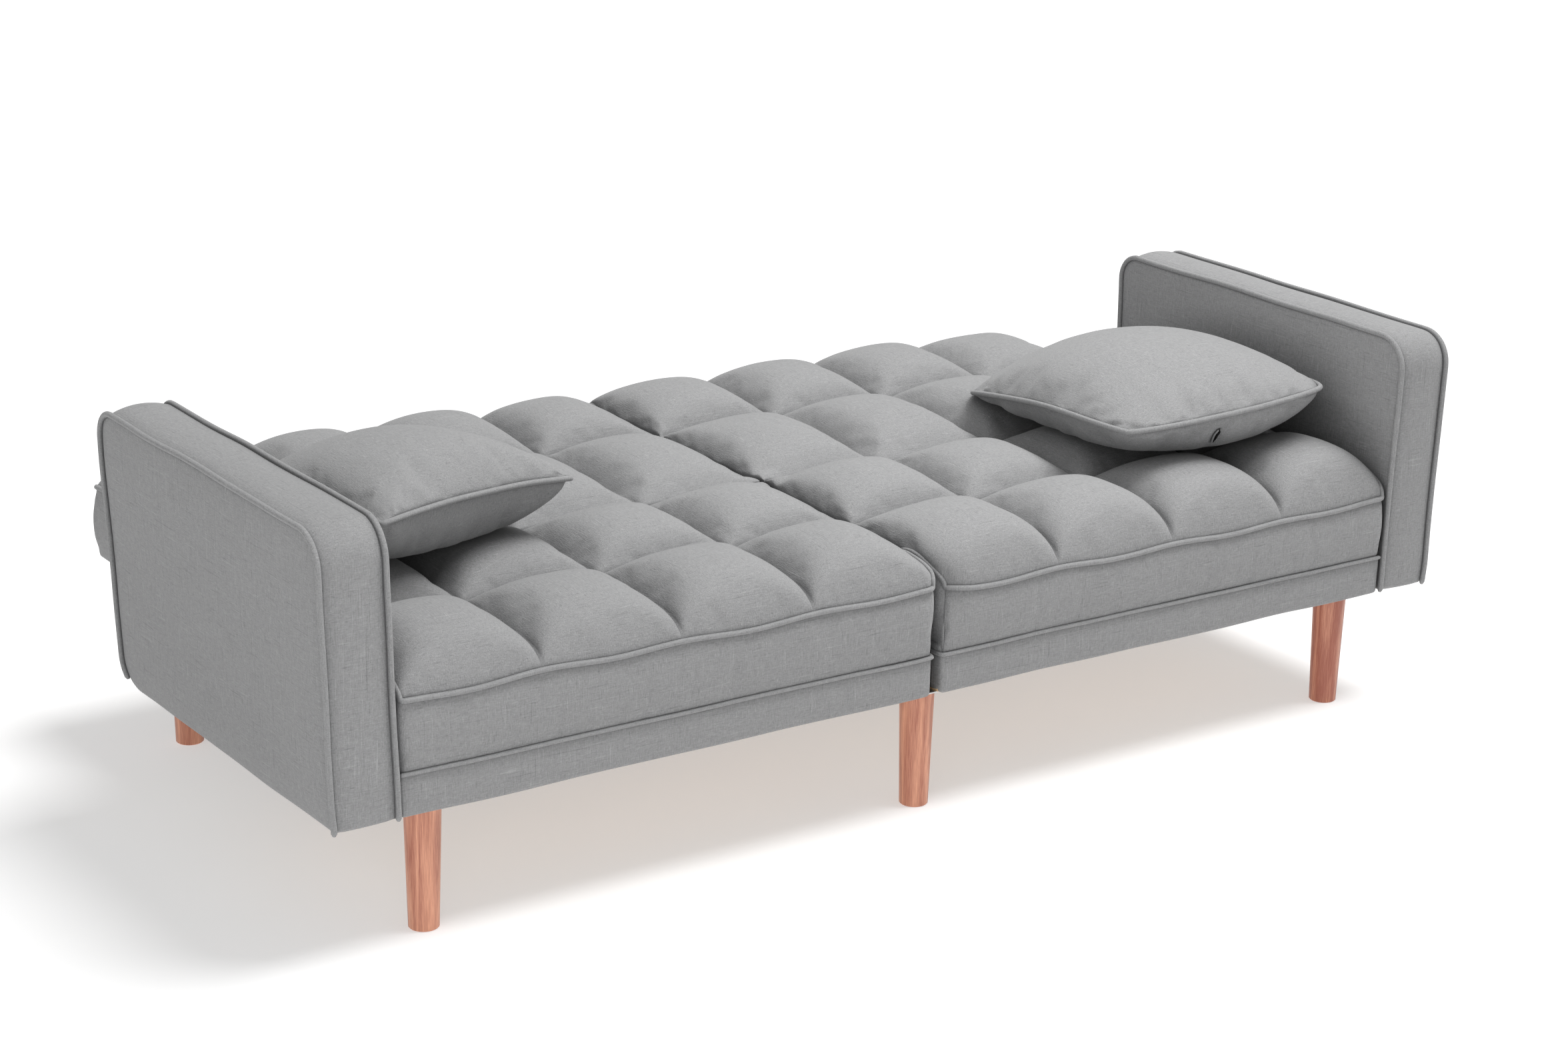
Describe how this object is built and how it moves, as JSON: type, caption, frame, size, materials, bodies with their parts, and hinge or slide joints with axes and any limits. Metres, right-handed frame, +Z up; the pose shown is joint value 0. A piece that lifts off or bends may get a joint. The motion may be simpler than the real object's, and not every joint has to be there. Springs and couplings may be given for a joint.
{
  "type": "futon sofa bed",
  "caption": "Split-back click-clack sofa bed lying flat: quilted grey linen cushions, upholstered arms, tapered round wooden legs and loose throw pillows.",
  "frame": {"origin": "on the floor, under the middle of the bed's box", "axes": "+X along the sofa to the right as seen from the front, +Y from the front to the back, +Z up; the rest pose is the flat bed"},
  "size_m": [1.8998, 0.96, 0.5716],
  "materials": {
    "linen": "slub-weave linen, mid grey",
    "leg_wood": "clear satin lacquer on reddish hardwood",
    "pine": "planed, unfinished",
    "plywood": "unfinished plywood",
    "dust_cloth": "black non-woven cloth",
    "black_steel": "black powder coat",
    "zinc_steel": "zinc plated",
    "glide_plastic": "black polyethylene",
    "zipper_black": "black enamel"
  },
  "bodies": {
    "frame": {"left_arm_cover": "linen", "right_arm_cover": "linen", "left_arm_welts": "linen", "right_arm_welts": "linen", "left_front_band": "linen", "right_front_band": "linen", "left_seat_cushion": "linen", "right_seat_cushion": "linen", "front_left_leg": "leg_wood", "front_center_leg": "leg_wood", "front_right_leg": "leg_wood", "rear_left_leg": "leg_wood", "rear_center_leg": "leg_wood", "rear_right_leg": "leg_wood", "left_arm_core_frame": "pine", "right_arm_core_frame": "pine", "left_arm_cleats": "pine", "right_arm_cleats": "pine", "left_front_rail": "pine", "right_front_rail": "pine", "left_outer_end_rail": "pine", "right_outer_end_rail": "pine", "left_inner_end_rail": "pine", "right_inner_end_rail": "pine", "left_middle_rail": "pine", "right_middle_rail": "pine", "left_rear_rail": "pine", "right_rear_rail": "pine", "corner_blocks": "pine", "left_arm_panels": "plywood", "right_arm_panels": "plywood", "left_seat_deck": "plywood", "right_seat_deck": "plywood", "left_hinge_bracket": "black_steel", "right_hinge_bracket": "black_steel", "center_hinge_plate": "black_steel", "leg_plates": "zinc_steel", "leg_studs": "zinc_steel", "frame_bolts": "zinc_steel", "center_bolts": "zinc_steel", "center_spacers": "zinc_steel", "hinge_pins": "zinc_steel", "leg_glides": "glide_plastic"},
    "left_back": {"left_back_cushion": "linen", "left_back_frame": "pine", "left_back_panel": "plywood", "left_back_dust_cover": "dust_cloth", "left_back_hinge_plates": "black_steel", "left_back_hinge_screws": "zinc_steel"},
    "right_back": {"right_back_cushion": "linen", "right_back_frame": "pine", "right_back_panel": "plywood", "right_back_dust_cover": "dust_cloth", "right_back_hinge_plates": "black_steel", "right_back_hinge_screws": "zinc_steel"},
    "left_pillow_body": {"left_pillow": "linen"},
    "right_pillow_body": {"right_pillow": "linen", "right_pillow_zipper": "zipper_black"},
    "left_pawl_body": {"left_hinge_pawl": "black_steel"},
    "right_pawl_body": {"right_hinge_pawl": "black_steel"}
  },
  "joints": [
    {"name": "left_back_tilt", "type": "hinge", "parent": "frame", "child": "left_back", "pos_m": [-0.42, -0.04, 0.36], "axis": [1, 0, 0], "range_deg": [0, 85]},
    {"name": "right_back_tilt", "type": "hinge", "parent": "frame", "child": "right_back", "pos_m": [0.42, -0.04, 0.36], "axis": [1, 0, 0], "range_deg": [0, 85]},
    {"name": "left_pillow_lean", "type": "hinge", "parent": "frame", "child": "left_pillow_body", "pos_m": [-0.64, -0.265, 0.405], "axis": [1, 0, 0], "range_deg": [0, 50.65]},
    {"name": "right_pillow_lean", "type": "hinge", "parent": "frame", "child": "right_pillow_body", "pos_m": [0.63, -0.33, 0.405], "axis": [1, 0, 0], "range_deg": [0, 33.65]},
    {"name": "left_pawl_release", "type": "hinge", "parent": "frame", "child": "left_pawl_body", "pos_m": [-0.8355, -0.078, 0.33], "axis": [1, 0, 0], "range_deg": [0, 12], "stiffness_Nm_per_rad": 0.01, "springref_deg": -8.59},
    {"name": "right_pawl_release", "type": "hinge", "parent": "frame", "child": "right_pawl_body", "pos_m": [0.8355, -0.078, 0.33], "axis": [1, 0, 0], "range_deg": [0, 12], "stiffness_Nm_per_rad": 0.01, "springref_deg": -8.59}
  ],
  "couplings": [
    {"joint": "left_pillow_lean", "follows": "left_back_tilt", "ratio": 0.59},
    {"joint": "right_pillow_lean", "follows": "right_back_tilt", "ratio": 0.39}
  ]
}
